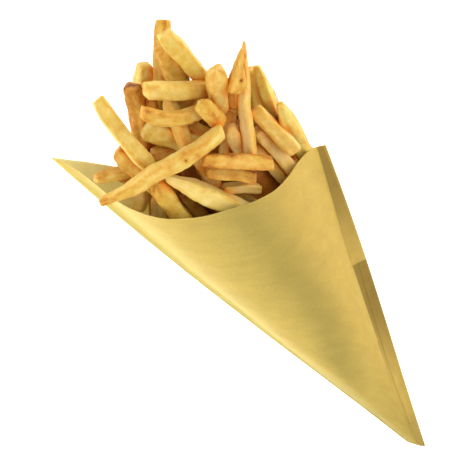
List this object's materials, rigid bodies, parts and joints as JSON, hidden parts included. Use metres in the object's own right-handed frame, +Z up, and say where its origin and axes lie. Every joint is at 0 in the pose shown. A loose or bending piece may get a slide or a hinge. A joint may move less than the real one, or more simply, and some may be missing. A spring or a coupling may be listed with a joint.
{
  "type": "french fries in a paper cone",
  "caption": "Straw-paper cone lying on its flat back wall, with a heaped portion of thin french fries spilling from its slanted mouth.",
  "frame": {"origin": "on the table, under the middle of the whole object's box", "axes": "+Y from the mouth towards the cone's tip, +X towards the sheet's long fold, +Z up from the table"},
  "size_m": [0.1178, 0.3022, 0.0717],
  "materials": {
    "straw_paper": "matte, fine straw fibres",
    "fried_potato": "golden fried crust with a little oil"
  },
  "bodies": {
    "root": {"paper_cone": "straw_paper", "fries_heap": "fried_potato"}
  },
  "joints": []
}
